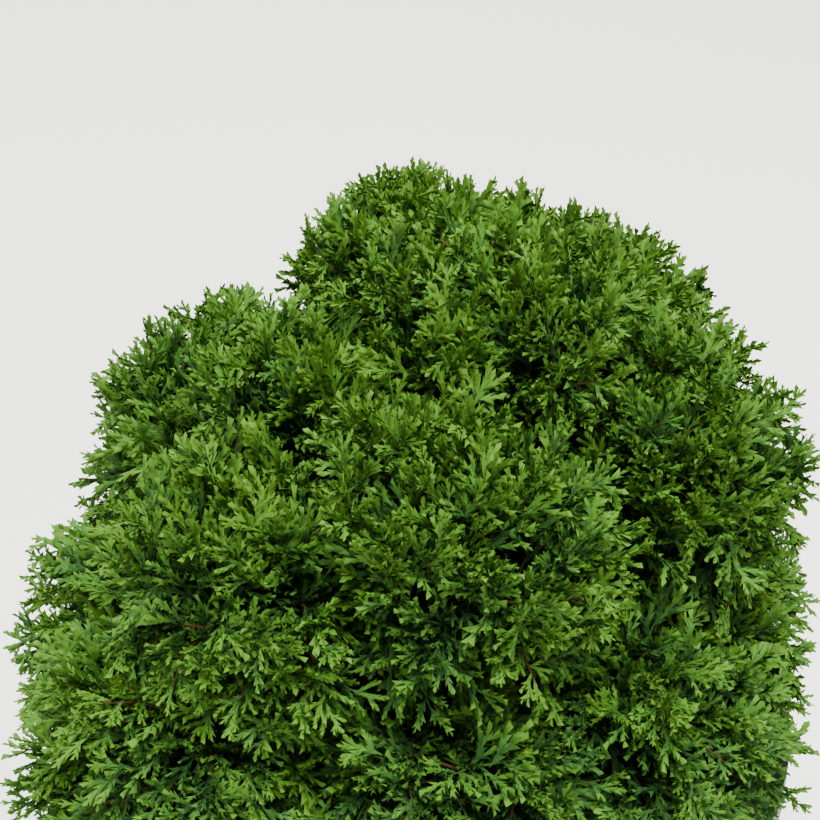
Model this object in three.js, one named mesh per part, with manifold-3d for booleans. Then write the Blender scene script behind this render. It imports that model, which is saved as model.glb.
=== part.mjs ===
// A tsukumo sawara cypress in its nursery pot: a dwarf, bun-shaped conifer whose fine green sprays hide a
// short trunk. Millimetres, +Z up. The origin is the middle of the pot's flat underside and the front is -Y.
import * as THREE from "three";
import { mergeVertices } from "three/addons/utils/BufferGeometryUtils.js";
import Module from "manifold-3d";

const wasm = await Module();
wasm.setup();

// Driving dimensions

const GAP = 0.3; // clear of each neighbour that a piece would touch
const MERGE = 0.001; // vertices nearer than this are one

const POT_HEIGHT = 138;
const RIM_RADIUS = 90;
const FOOT_RADIUS = 66;
const POT_WALL = 2;
const POT_FLOOR = 3;
const BAND_HEIGHT = 12; // the thick band that runs round the rim
const BAND_PROUD = 3.2;
const POT_EDGE = 1.5; // how far the pot's edges are rounded
const POT_SIDES = 32;
const DRAIN_COUNT = 6;
const DRAIN_RADIUS = 4;
const DRAIN_CIRCLE = 46;

const MIX_MIDDLE = 130; // height of the potting mix at the trunk
const MIX_EDGE = 126.5; // and at the pot's wall
const MIX_FLAT = 16; // radius of the level part round the trunk

const TRUNK_FOOT = 6.6; // radius over the root flare
const TRUNK_TIP = 2.2;
const FLARE = 3.6; // how much the root flare adds at ground level
const FLARE_HEIGHT = 6; // height in which the flare dies away by two thirds
const FLARE_ROOTS = 5;
const ROOT_SWELL = 0.35; // how much the flare swells over each root
const TRUNK_TAPER = 0.85; // 1 would taper evenly, and less tapers faster near the ground
const TRUNK_UPRIGHT = 0.35; // share of the trunk's height over which it starts and ends upright
const TRUNK_SIDES = 15;
const TRUNK_RINGS = 9;

const BOUGH_ROOT = 2.3;
const BOUGH_TIP = 1.5;
const BOUGH_RISE = 0.1; // a bough ends in line with a point this share higher on the trunk
const BOUGH_SIDES = 5;
const BOUGH_RINGS = 3;

const CORE_DEPTH = 0.62; // share of the way from a lobe's middle back to its bough that its core fills
const SPACE_MARGIN = 0.15; // kept clear on each side of a plane between two masses
const SKIRT_SLOPE = 0.04; // the underside of the crown falls this steeply over the rim
const SKIRT_CLEAR = 0.6;

const CORE_SHARE = 0.68; // of the reach, filled by the dense core
const CORE_LUMPS = 0.13;
const SEAM_SHARE = 0.84; // where a neighbour or the pot leaves less than this, the core fills up to it
const TWIG_DIRECTIONS = 26; // spread over the whole ball of a lobe
const TWIG_JITTER = 0.25;
const OPEN_SHARE = 0.68; // a direction with less free reach than this has no room for a twig
const FORK_SHARE = 0.62; // of the free reach, where a twig forks into sprays
const TWIG_RADIUS = 1.1;
const SPRAY_LENGTH = 23;
const SPRAY_SIZES = [0.85, 1.15]; // shares of that length, from the smallest to the largest
const SPRAY_THICKNESS = 1.4;
const SPRAY_SUNK = 1.5; // length of the root that is sunk in the twig
const SPRAY_TEETH = 4;
const TOOTH_ANGLE = (24 * Math.PI) / 180;
const TOOTH_SHORTENING = 0.8; // 0 would make all teeth as long as the middle ones
const NOTCH_SHARE = 0.66; // depth of the notches between the teeth
const WIDEST_SHARE = 0.45; // of its length, where a spray is thickest
const SHRINK = [1, 0.85, 0.7, 0.55]; // sizes tried for a spray before it is skipped
const FORK_TURN = 1.15; // how far the two sprays of a fork turn to each side, in radians
const FORK_JITTER = 0.7;
const LEAN_OUT = 0.75; // how far a spray leans over from straight out
const DROOP_BELOW = 205; // under this height sprays hang, and above it they stand up

const GOLDEN_ANGLE = Math.PI * (3 - Math.sqrt(5));

// The masses of foliage. Each fills its share of a round lobe: the lobe's middle, its radius, how far behind
// the middle its bough ends, and the share of the trunk's height at which that bough leaves the trunk. The
// top mass stands on the trunk's own tip.
const MASSES = [
  { name: "top", middle: [13, 4, 238], reach: 45, depth: 15, fork: 1 },
  { name: "upper_front", middle: [2, -37, 214], reach: 46, depth: 20, fork: 0.6 },
  { name: "upper_right", middle: [47, -2, 211], reach: 45, depth: 20, fork: 0.67 },
  { name: "upper_back_right", middle: [33, 38, 215], reach: 44, depth: 20, fork: 0.53 },
  { name: "upper_back", middle: [-4, 40, 230], reach: 40, depth: 18, fork: 0.64 },
  { name: "upper_left", middle: [-26, 0, 216], reach: 42, depth: 13, fork: 0.57 },
  { name: "left_shoulder", middle: [-50, 28, 200], reach: 42, depth: 21, fork: 0.42 },
  { name: "upper_front_left", middle: [-37, -35, 200], reach: 46, depth: 22, fork: 0.48 },
  { name: "low_front", middle: [2, -57, 161], reach: 49, depth: 24, fork: 0.3 },
  { name: "low_front_right", middle: [41, -42, 161], reach: 48, depth: 24, fork: 0.2 },
  { name: "low_right", middle: [51, -2, 162], reach: 46, depth: 22, fork: 0.34 },
  { name: "low_back_right", middle: [39, 41, 161], reach: 49, depth: 24, fork: 0.25 },
  { name: "low_back", middle: [-2, 56, 161], reach: 49, depth: 24, fork: 0.32 },
  { name: "low_back_left", middle: [-53, 38, 165], reach: 49, depth: 28, fork: 0.22 },
  { name: "low_left", middle: [-60, 0, 162], reach: 49, depth: 26, fork: 0.28 },
  { name: "low_front_left", middle: [-53, -43, 160], reach: 51, depth: 28, fork: 0.15 },
];

const COLOURS = {
  pot: { color: 0x1b1b1f, roughness: 0.55, metalness: 0 },
  mix: { color: 0x2e221a, roughness: 0.95, metalness: 0 },
  bark: { color: 0x5e4430, roughness: 0.9, metalness: 0 },
  foliage: { color: 0x3f7a24, roughness: 0.7, metalness: 0 },
};

const UP = new THREE.Vector3(0, 0, 1);

// Solids

// A closed three.js geometry as a solid that can be joined and cut.
function solidOf(geometry) {
  const bare = geometry.clone();
  bare.deleteAttribute("normal");
  bare.deleteAttribute("uv");
  const merged = mergeVertices(bare, MERGE);
  return new wasm.Manifold(
    new wasm.Mesh({
      numProp: 3,
      vertProperties: merged.attributes.position.array,
      triVerts: new Uint32Array(merged.index.array),
    }),
  );
}

// The largest body of a solid: loose scraps are dropped, and a hollow that joining sealed is filled.
function wholeBody(solid) {
  const bodies = solid.decompose();
  return bodies.reduce((best, body) => (body.volume() > best.volume() ? body : best));
}

function geometryOf(solid) {
  const { vertProperties, triVerts } = solid.getMesh();
  const geometry = new THREE.BufferGeometry();
  geometry.setAttribute("position", new THREE.BufferAttribute(vertProperties, 3));
  geometry.setIndex(new THREE.BufferAttribute(triVerts, 1));
  return geometry;
}

function meshOf(name, solid, look) {
  const merged = solidOf(geometryOf(wholeBody(solid)));
  const geometry = geometryOf(wholeBody(merged));
  geometry.computeVertexNormals();
  const mesh = new THREE.Mesh(geometry, new THREE.MeshStandardMaterial(look));
  mesh.name = name;
  return mesh;
}

// A turned body from its profile of [radius, height] points.
function turned(profile, sides) {
  const points = profile.map(([radius, height]) => new THREE.Vector2(radius, height));
  return new THREE.LatheGeometry(points, sides).rotateX(Math.PI / 2);
}

// A closed limb along a curve. radiusAt gives its radius from the share of its length and the angle round.
function limb(curve, radiusAt, sides, rings) {
  const geometry = new THREE.CylinderGeometry(1, 1, 1, sides, rings);
  const position = geometry.attributes.position;
  const runsAlongX = Math.abs(curve.getTangent(0.5).x) > 0.8;
  const crosswise = runsAlongX ? new THREE.Vector3(0, 1, 0) : new THREE.Vector3(1, 0, 0);
  const point = new THREE.Vector3();
  for (let k = 0; k < position.count; k++) {
    point.fromBufferAttribute(position, k);
    const share = point.y + 0.5;
    const angle = Math.atan2(point.x, point.z);
    const along = curve.getTangent(share);
    const side = crosswise.clone().cross(along).normalize();
    const other = side.clone().cross(along);
    const radius = radiusAt(share, angle);
    const place = curve.getPoint(share);
    place.addScaledVector(side, point.x * radius);
    place.addScaledVector(other, point.z * radius);
    position.setXYZ(k, place.x, place.y, place.z);
  }
  return solidOf(geometry);
}

// Pot and potting mix

function innerRadius(height) {
  const top = RIM_RADIUS - BAND_PROUD - POT_WALL;
  return THREE.MathUtils.lerp(FOOT_RADIUS - POT_WALL, top, height / POT_HEIGHT);
}

function makePot() {
  const underBand = POT_HEIGHT - BAND_HEIGHT;
  const lip = innerRadius(POT_HEIGHT);
  const body = solidOf(
    turned(
      [
        [0, 0],
        [FOOT_RADIUS - POT_EDGE, 0],
        [FOOT_RADIUS, POT_EDGE],
        [innerRadius(underBand) + POT_WALL, underBand],
        [RIM_RADIUS - POT_EDGE, underBand],
        [RIM_RADIUS, underBand + POT_EDGE],
        [RIM_RADIUS, POT_HEIGHT - POT_EDGE],
        [RIM_RADIUS - POT_EDGE / 2, POT_HEIGHT - POT_EDGE / 3],
        [RIM_RADIUS - POT_EDGE, POT_HEIGHT],
        [lip + POT_EDGE / 2, POT_HEIGHT],
        [lip, POT_HEIGHT - POT_EDGE],
        [innerRadius(POT_FLOOR), POT_FLOOR],
        [0, POT_FLOOR],
      ],
      POT_SIDES,
    ),
  );
  let pot = body;
  for (let k = 0; k < DRAIN_COUNT; k++) {
    const angle = ((k + 0.5) * 2 * Math.PI) / DRAIN_COUNT;
    const drain = new THREE.CylinderGeometry(DRAIN_RADIUS, DRAIN_RADIUS, 4 * POT_FLOOR, 10);
    drain.rotateX(Math.PI / 2);
    drain.translate(DRAIN_CIRCLE * Math.cos(angle), DRAIN_CIRCLE * Math.sin(angle), 0);
    pot = pot.subtract(solidOf(drain));
  }
  return meshOf("pot", pot, COLOURS.pot);
}

// The mix fills the pot to just under its rim and rises a little towards the trunk.
function makePottingMix() {
  const low = POT_FLOOR + GAP;
  const body = turned(
    [
      [0, low],
      [innerRadius(low) - GAP, low],
      [innerRadius(MIX_EDGE) - GAP, MIX_EDGE],
      [(innerRadius(MIX_EDGE) + MIX_FLAT) / 2, (MIX_EDGE + MIX_MIDDLE) / 2 + 1],
      [MIX_FLAT, MIX_MIDDLE],
      [0, MIX_MIDDLE],
    ],
    POT_SIDES,
  );
  return meshOf("potting_mix", solidOf(body), COLOURS.mix);
}

// Trunk and boughs

function vector(values) {
  return new THREE.Vector3(...values);
}

const topMass = MASSES[0];
const trunkFoot = new THREE.Vector3(0, 0, MIX_MIDDLE + GAP);
const trunkTip = vector(topMass.middle).addScaledVector(UP, -topMass.depth - GAP);
const trunkRise = trunkTip.z - trunkFoot.z;
// It leaves the ground upright, leans over to the right, and ends upright under the top.
const trunkCurve = new THREE.CubicBezierCurve3(
  trunkFoot,
  trunkFoot.clone().addScaledVector(UP, trunkRise * TRUNK_UPRIGHT),
  trunkTip.clone().addScaledVector(UP, -trunkRise * TRUNK_UPRIGHT),
  trunkTip,
);

// The trunk's radius with its root flare, and more by the given clearance.
function trunkRadius(clearance) {
  return (share, angle) => {
    const taper = THREE.MathUtils.lerp(TRUNK_FOOT, TRUNK_TIP, Math.pow(share, TRUNK_TAPER));
    const roots = 1 + ROOT_SWELL * Math.cos(FLARE_ROOTS * angle);
    return taper + FLARE * roots * Math.exp((-share * trunkRise) / FLARE_HEIGHT) + clearance;
  };
}

function makeTrunk() {
  return meshOf("trunk", limb(trunkCurve, trunkRadius(0), TRUNK_SIDES, TRUNK_RINGS), COLOURS.bark);
}

// A bough leaves the trunk at its fork and ends square on the line through the middle of its lobe.
function boughCurve(mass) {
  const start = trunkCurve.getPoint(mass.fork);
  const end = mass.stemStart.clone().addScaledVector(mass.inward, GAP);
  const half = start.distanceTo(end) / 2;
  return new THREE.QuadraticBezierCurve3(start, end.clone().addScaledVector(mass.inward, half), end);
}

function makeBough(mass, thickTrunk) {
  const taper = (share) => THREE.MathUtils.lerp(BOUGH_ROOT, BOUGH_TIP, share);
  const bough = limb(boughCurve(mass), taper, BOUGH_SIDES, BOUGH_RINGS).subtract(thickTrunk);
  return meshOf("bough_" + mass.name, bough, COLOURS.bark);
}

// Spaces of the masses

// Completes each mass: its middle as a vector, the way in to the trunk, and where its own stem starts.
for (const mass of MASSES) {
  mass.hub = vector(mass.middle);
  const fork = mass === topMass ? trunkTip : trunkCurve.getPoint(mass.fork + BOUGH_RISE);
  mass.inward = fork.clone().sub(mass.hub).normalize();
  mass.stemStart = mass.hub.clone().addScaledVector(mass.inward, mass.depth);
}

// The plane where the surfaces of two lobes cross, as seen from the first one's middle.
function planeBetween(mass, other) {
  const towards = other.hub.clone().sub(mass.hub);
  const apart = towards.length();
  const limit = (apart * apart + mass.reach * mass.reach - other.reach * other.reach) / (2 * apart);
  return { normal: towards.normalize(), limit };
}

// The underside of the crown, which rises inwards and falls outwards just clear of the pot's rim.
function skirtPlane(mass) {
  const outward = new THREE.Vector3(mass.hub.x, mass.hub.y, 0).normalize();
  const height = mass.hub.z - POT_HEIGHT - SKIRT_CLEAR;
  const beyondRim = mass.hub.dot(outward) - RIM_RADIUS - SKIRT_CLEAR;
  const normal = outward.multiplyScalar(-SKIRT_SLOPE).sub(UP);
  const limit = (height + SKIRT_SLOPE * beyondRim) / normal.length();
  return { normal: normal.normalize(), limit };
}

// A mass's space is what its planes leave of its lobe's ball. It is convex and holds the lobe's middle.
function planesOf(mass) {
  const planes = MASSES.filter((other) => other !== mass).map((other) => planeBetween(mass, other));
  planes.push({ normal: mass.inward, limit: mass.depth });
  if (mass !== topMass) planes.push(skirtPlane(mass));
  return planes;
}

// How far the space reaches from the lobe's middle in a direction.
function freeReach(mass, direction) {
  let reach = mass.reach;
  for (const { normal, limit } of mass.planes) {
    const facing = direction.dot(normal);
    if (facing > 0) reach = Math.min(reach, (limit - SPACE_MARGIN) / facing);
  }
  return reach;
}

function isInside(mass, point) {
  const fromHub = point.clone().sub(mass.hub);
  if (fromHub.length() > mass.reach) return false;
  return mass.planes.every(({ normal, limit }) => fromHub.dot(normal) <= limit - SPACE_MARGIN);
}

// Foliage

// Numbers from 0 to 1 that are the same on every run.
function seeded(seed) {
  let state = seed;
  return () => {
    state = (state * 16807) % 2147483647;
    return state / 2147483647;
  };
}

// The k-th of a number of directions spread evenly over a ball.
function spreadDirection(k, count) {
  const rise = 1 - (2 * (k + 0.5)) / count;
  const flat = Math.sqrt(1 - rise * rise);
  const turn = k * GOLDEN_ANGLE;
  return new THREE.Vector3(flat * Math.cos(turn), flat * Math.sin(turn), rise);
}

// The dense middle of a mass, whose lumps stay inside its space.
function makeCore(mass) {
  const random = seeded(mass.seed + 7);
  const geometry = new THREE.IcosahedronGeometry(1, 2);
  const position = geometry.attributes.position;
  const lumps = new Map();
  const direction = new THREE.Vector3();
  for (let k = 0; k < position.count; k++) {
    direction.fromBufferAttribute(position, k);
    const corner = direction.toArray().map((value) => value.toFixed(3)).join();
    if (!lumps.has(corner)) lumps.set(corner, 1 + CORE_LUMPS * (2 * random() - 1));
    const free = freeReach(mass, direction);
    let radius = free < SEAM_SHARE * mass.reach ? free : CORE_SHARE * mass.reach * lumps.get(corner);
    const inwards = direction.dot(mass.inward);
    if (inwards > 0) radius = Math.min(radius, (CORE_DEPTH * mass.depth) / inwards);
    direction.multiplyScalar(radius).add(mass.hub);
    position.setXYZ(k, direction.x, direction.y, direction.z);
  }
  return solidOf(geometry);
}

// A three-sided twig between two points.
function makeTwig(from, to, thick, thin) {
  const curve = new THREE.LineCurve3(from, to);
  return limb(curve, (share) => THREE.MathUtils.lerp(thick, thin, share), 3, 1);
}

// The toothed outline of a spray as [across, along] in shares of its length, from the root round.
function sprayOutline() {
  const points = [[0, 0]];
  for (let tooth = 0; tooth < SPRAY_TEETH; tooth++) {
    const angle = (tooth - (SPRAY_TEETH - 1) / 2) * TOOTH_ANGLE;
    const length = Math.cos(angle * TOOTH_SHORTENING);
    if (tooth > 0) {
      const notch = angle - TOOTH_ANGLE / 2;
      points.push([Math.sin(notch) * NOTCH_SHARE, Math.cos(notch) * NOTCH_SHARE]);
    }
    points.push([Math.sin(angle) * length, Math.cos(angle) * length]);
  }
  return points;
}

const outline = sprayOutline();

// A spray is a blade with a sharp toothed edge, thickest in its middle. It is null if it leaves the space.
function makeSpray(mass, root, along, across, length) {
  const face = across.clone().cross(along);
  const place = (acrossShare, alongShare, height) =>
    root
      .clone()
      .addScaledVector(across, acrossShare * length)
      .addScaledVector(along, alongShare * length)
      .addScaledVector(face, height);
  const edge = outline.map(([acrossShare, alongShare]) => place(acrossShare, alongShare, 0));
  const upper = place(0, WIDEST_SHARE, SPRAY_THICKNESS / 2);
  const lower = place(0, WIDEST_SHARE, -SPRAY_THICKNESS / 2);
  if (![upper, lower, ...edge].every((point) => isInside(mass, point))) return null;
  const geometry = new THREE.SphereGeometry(1, outline.length, 2);
  const position = geometry.attributes.position;
  const point = new THREE.Vector3();
  for (let k = 0; k < position.count; k++) {
    point.fromBufferAttribute(position, k);
    const turn = Math.round((Math.atan2(point.z, point.x) / (2 * Math.PI)) * outline.length);
    const corner = edge[(turn + outline.length) % outline.length];
    if (Math.abs(point.y) < 0.5) point.copy(corner);
    else point.copy(point.y > 0 ? upper : lower);
    position.setXYZ(k, point.x, point.y, point.z);
  }
  return solidOf(geometry);
}

// One twig grows from the lobe's middle in a direction and forks near the surface into two sprays. They lean
// over to the way down the crown's side, or to the way up near its top, one to each side.
function growTwig(mass, direction, random) {
  const fork = mass.hub.clone().addScaledVector(direction, freeReach(mass, direction) * FORK_SHARE);
  const pieces = [makeTwig(mass.hub, fork, TWIG_RADIUS, TWIG_RADIUS / 2)];
  const level = UP.clone().cross(direction).normalize();
  const uphill = direction.clone().cross(level);
  const upright = fork.z > DROOP_BELOW ? 0 : Math.PI;
  for (const side of [-1, 1]) {
    const turn = upright + side * FORK_TURN + FORK_JITTER * (random() - 0.5);
    const lean = uphill.clone().multiplyScalar(Math.cos(turn)).addScaledVector(level, Math.sin(turn));
    const along = direction.clone().addScaledVector(lean, LEAN_OUT).normalize();
    const across = direction.clone().cross(lean);
    const length = SPRAY_LENGTH * THREE.MathUtils.lerp(...SPRAY_SIZES, random());
    const root = fork.clone().addScaledVector(along, -SPRAY_SUNK);
    const sprays = SHRINK.map((size) => makeSpray(mass, root, along, across, length * size));
    const fits = sprays.find((spray) => spray);
    if (fits) pieces.push(fits);
  }
  return pieces;
}

// A mass of foliage: its stem, its core, and all twigs whose directions aren't taken by a neighbour.
function makeFoliage(mass) {
  const random = seeded(mass.seed);
  let foliage = makeCore(mass);
  foliage = foliage.add(makeTwig(mass.stemStart, mass.hub, BOUGH_TIP, TWIG_RADIUS));
  for (let k = 0; k < TWIG_DIRECTIONS; k++) {
    const jitter = vector([random() - 0.5, random() - 0.5, random() - 0.5]);
    const direction = spreadDirection(k, TWIG_DIRECTIONS);
    direction.addScaledVector(jitter, TWIG_JITTER).normalize();
    if (freeReach(mass, direction) < OPEN_SHARE * mass.reach) continue;
    for (const piece of growTwig(mass, direction, random)) foliage = foliage.add(piece);
  }
  return meshOf("foliage_" + mass.name, foliage, COLOURS.foliage);
}

// The whole plant

const plant = new THREE.Group();
plant.add(makePot(), makePottingMix(), makeTrunk());
const thickTrunk = limb(trunkCurve, trunkRadius(GAP), TRUNK_SIDES, TRUNK_RINGS);
MASSES.forEach((mass, number) => {
  mass.seed = 101 + 17 * number;
  mass.planes = planesOf(mass);
  if (mass !== topMass) plant.add(makeBough(mass, thickTrunk));
  plant.add(makeFoliage(mass));
});

export default plant;
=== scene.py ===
import math

import bpy
import numpy as np
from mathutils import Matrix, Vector, noise


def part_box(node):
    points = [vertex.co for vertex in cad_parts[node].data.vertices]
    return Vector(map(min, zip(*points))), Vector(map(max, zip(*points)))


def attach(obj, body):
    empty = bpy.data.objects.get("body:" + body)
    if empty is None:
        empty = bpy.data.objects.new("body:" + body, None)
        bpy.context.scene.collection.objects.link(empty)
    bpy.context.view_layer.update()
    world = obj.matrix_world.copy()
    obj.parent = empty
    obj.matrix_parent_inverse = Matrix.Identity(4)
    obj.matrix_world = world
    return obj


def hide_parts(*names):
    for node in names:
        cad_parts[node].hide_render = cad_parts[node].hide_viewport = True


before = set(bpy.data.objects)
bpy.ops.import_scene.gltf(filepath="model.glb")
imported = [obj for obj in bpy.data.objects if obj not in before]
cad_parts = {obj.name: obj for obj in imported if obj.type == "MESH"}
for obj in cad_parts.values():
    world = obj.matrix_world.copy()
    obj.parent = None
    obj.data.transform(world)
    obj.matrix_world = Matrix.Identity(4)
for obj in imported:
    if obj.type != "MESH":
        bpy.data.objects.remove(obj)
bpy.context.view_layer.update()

bl_info = {
    "name": "Potted sawara cypress",
    "version": (1, 0, 0),
    "blender": (4, 5, 0),
    "location": "View3D > Sidebar > Cypress",
    "description": "Grows a dwarf sawara cypress from its limbs and stands it in its nursery pot",
    "category": "Add Mesh",
}

MM = 0.001
DRAW_FACTOR = 16807
DRAW_RANGE = 2147483647
GOLDEN_ANGLE = math.pi * (3 - math.sqrt(5))
UP = np.array([0.0, 0.0, 1.0])

# What the pot and the mix measure, from the frame
POT_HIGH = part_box("pot")[1]
MIX_LOW, MIX_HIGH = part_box("potting_mix")
TRUNK_FOOT_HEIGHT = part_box("trunk")[0].z
RIM_RADIUS = POT_HIGH.x
POT_HEIGHT = POT_HIGH.z
FOOT_RADIUS = 0.066
POT_WALL = 0.002
POT_FLOOR = 0.003
BAND_HEIGHT = 0.012
BAND_PROUD = 0.0032
FOOT_HEIGHT = 0.005
FOOT_STEP = 0.0009
BEAD_HEIGHTS = (0.031, 0.112, 0.118)
BEAD_WIDTH = 0.0026
BEAD_PROUD = 0.0007
EDGE_ROUNDING = 0.0006
ROUNDED_FROM = math.radians(30)
SHARP_FROM = math.radians(35)
DRAIN_COUNT = 6
DRAIN_RADIUS = 0.004
DRAIN_CIRCLE = 0.046
DRAIN_SIDES = 32
MIX_EDGE = 0.1265
MIX_FLAT = 0.016
MIX_SIDES = 120
MIX_RINGS = 26
CRUMB_SIZES = (0.0032, 0.0013)
CRUMB_HEIGHT = 0.0009
FINE_CRUMBS = 0.5
CRUMB_SINK = 0.6

# The growth rule of the solids, in millimetres
SEED_FIRST = 101
SEED_STEP = 17
GAP = 0.3
TRUNK_FOOT = 6.6
TRUNK_TIP = 2.2
FLARE = 3.6
FLARE_HEIGHT = 6
FLARE_ROOTS = 5
ROOT_SWELL = 0.35
TRUNK_TAPER = 0.85
TRUNK_UPRIGHT = 0.35
BOUGH_ROOT = 2.3
BOUGH_TIP = 1.5
BOUGH_RISE = 0.1
SPACE_MARGIN = 0.15
SKIRT_SLOPE = 0.04
SKIRT_CLEAR = 0.6
LEAST_FACING = 1e-6
TWIG_DIRECTIONS = 26
TWIG_JITTER = 0.25
OPEN_SHARE = 0.68
FORK_SHARE = 0.62
TWIG_RADIUS = 1.1
FROND_LENGTH = 23
FROND_SIZES = (0.85, 1.15)
SHRINK = (1, 0.85, 0.7, 0.55)
FORK_TURN = 1.15
FORK_JITTER = 0.7
LEAN_OUT = 0.75
DROOP_BELOW = 205

# Each mass of foliage: its name, its lobe's middle and radius, how far behind the middle its bough ends, and
# the share of the trunk's height at which that bough leaves the trunk
MASSES = (
    ("top", (13, 4, 238), 45, 15, 1),
    ("upper_front", (2, -37, 214), 46, 20, 0.6),
    ("upper_right", (47, -2, 211), 45, 20, 0.67),
    ("upper_back_right", (33, 38, 215), 44, 20, 0.53),
    ("upper_back", (-4, 40, 230), 40, 18, 0.64),
    ("upper_left", (-26, 0, 216), 42, 13, 0.57),
    ("left_shoulder", (-50, 28, 200), 42, 21, 0.42),
    ("upper_front_left", (-37, -35, 200), 46, 22, 0.48),
    ("low_front", (2, -57, 161), 49, 24, 0.3),
    ("low_front_right", (41, -42, 161), 48, 24, 0.2),
    ("low_right", (51, -2, 162), 46, 22, 0.34),
    ("low_back_right", (39, 41, 161), 49, 24, 0.25),
    ("low_back", (-2, 56, 161), 49, 24, 0.32),
    ("low_back_left", (-53, 38, 165), 49, 28, 0.22),
    ("low_left", (-60, 0, 162), 49, 26, 0.28),
    ("low_front_left", (-53, -43, 160), 51, 28, 0.15),
)

# What the finer growth adds, in millimetres
FINE_SEED = 3000
SEAM_CROSSING = 9
SKIRT_DROP = 13
RIM_CLEAR = 1.5
SHELLS = (
    # how many directions, how open a direction has to be, how near the surface most tips end, how much that
    # varies, tone (lower on the inner shells: painted shade), detail
    {"count": 440, "open": 0.6, "tips": 0.84, "spread": 0.05, "tone": 0.0, "plain": False},
    {"count": 170, "open": 0.45, "tips": 0.71, "spread": 0.08, "tone": -2.0, "plain": True},
    {"count": 100, "open": 0.35, "tips": 0.56, "spread": 0.1, "tone": -2.8, "plain": True},
)
MIDDLE_TONE = 3.25
MAIN_TONE = 0.5
MOOD_SIZE = 17
MOOD_TONE = 1.5
TUFT_SIZE = 16
TUFT_DEPTH = 0.2
TUFT_GAP = -0.45
# Sprays on tufts are painted lighter and those in the hollows between tufts darker: painted light and shade.
TUFT_PAINTED_SHADE = 1.6
# The upper crown is painted lighter and the lower crown darker, as the overhead light falls: painted light.
HEIGHT_PAINTED_LIGHT = 0.6
HEIGHT_SPAN = 50
FINE_JITTER = 0.12
FINE_TURN = 2.4
LEAN_RANGE = (0.4, 1.9)
LEAN_POWER = 1.3
PLUME_SHARE = 0.13
PLUME_LEAN = (0.05, 0.6)
PLUME_LENGTHS = (18, 25)
PLUME_FAN = 0.65
PLUME_TONE = 0.4
YELLOWED_SHARE = 0.003
YELLOWED = 50
FINE_LENGTHS = (15, 22)
BRANCH_SHARES = (0.55, 0.95)
LEAST_DEPTH = 0.3
HANGING_SPAN = 22
HANGING_JITTER = 1.6
FROND_AXIS = 0.55
FROND_SPRAYS = (
    # where on the frond each spray starts, to which side it turns, and its length, in shares of the frond
    (0.52, 0.0, 0.46),
    (0.4, 0.6, 0.44),
    (0.27, -0.66, 0.44),
    (0.12, 0.85, 0.42),
    (0.0, -0.92, 0.4),
    (-0.12, 0.25, 0.4),
)
PLAIN_SPRAYS = 5
SPRAY_SIZES = (0.75, 1.15)
SPRAY_TURN = 0.4
SPRAY_LIFT = 0.8
LIFT_MIDDLE = 0.45
SPRAY_TWIST = 1.8
SPRAY_TONES = 0.9
FROND_NOD = 0.5
NOD_MIDDLE = 0.2
# Sprays near a frond's base are painted darker and those at its end lighter: painted shade at the base,
# partly also the paler fresh growth at the end.
FROND_CONTRAST = 3
FROND_MIDDLE = 0.3
FROND_LEAST = 3

# Limbs and twigs, in millimetres
TRUNK_SIDES = 64
TRUNK_RINGS = 90
TRUNK_RELIEF = 0.5
BOUGH_SIDES = 16
BOUGH_RINGS = 24
BOUGH_RELIEF = 0.3
STRANDS_ROUND = 3
STRAND_LENGTH = 14
FLAKE_SIZE = 1.1
STRAND_RELIEF = 0.8
FLAKE_RELIEF = 0.35
MAIN_TWIG_RADII = (TWIG_RADIUS, 0.85, 0.6)
MAIN_TWIG_SIDES = 6
FINE_TWIG_RADII = (0.5, 0.4, 0.12)
FINE_TWIG_SIDES = 3
BROWN_EVERY = 3
NEARLY_ALONG_X = 0.8

# One slender spray of scale leaves, in millimetres
SPRAY_NOMINAL = 8
SPRAY_BEND = 0.8
# How much darker a shoot's base is than its tip: painted shade at the base, and a tip that is partly this
# year's paler growth and partly painted light.
SPRAY_CONTRAST = 3.2
SPRAY_MIDDLE = 0.6
SPRAY_CUP = 0.03
CUP_RANGE = (-0.5, 1.3)
SPRAY_NOD = 0.016
NOD_RANGE = (-0.8, 1.6)
SHOOT_WIDTHS = (0.7, 0.9)
SCALE_SIZES = (0.8, 1.2)
SCALE_STEP = 1.1
PLAIN_STEP = 1.65
SCALE_OVERLAP = 1.75
SCALE_POINT = 1.1
SCALE_FRONT = 0.3
SCALE_HALF_WIDTH = 1.12
SCALE_TILT = 0.6
SCALE_RIDGE = 0.6
SCALE_DROOP = 0.1
END_HALF_WIDTH = 0.55
END_POINT = 0.25
END_FRONT = 0.85
SIDE_SHOOTS = ((0.2, 0.58), (0.42, 0.48), (0.64, 0.34))
SIDE_SHIFT = 0.1
SIDE_ANGLE = 0.82
SIDE_ANGLES = (0.8, 1.25)
SIDE_SIZES = (0.75, 1.25)
SIDE_BEND = 0.3
SIDE_SLOPE = 0.8
SPRAY_VARIANTS = 14
SPRAY_SEED = 5001
SPRAY_SEED_STEP = 31

# How much the finishes shine
LEAF_ROUGHNESS = 0.65
LEAF_GLOSS = 0.03
TWIG_GLOSS = 0.1
POT_GLOSS = 0.22

# The stage, in metres, and the camera's sensor in millimetres
SOFTBOXES = (
    # name, place, side and power in watts
    ("overhead", (0.15, -0.45, 1.6), 1.0, 90),
    ("behind", (-0.4, 1.1, 1.5), 1.2, 34),
)
LIGHT_AIM = (0, 0, 0.18)
ROOM_COLOUR = (1.0, 0.99, 0.96, 1)
ROOM_LIGHT = 0.78
CROWN_MIDDLE = (-0.007, 0, 0.172)
SENSOR_WIDTH = 36
NEAREST_SEEN = 0.01


# Numbers and directions


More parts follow.
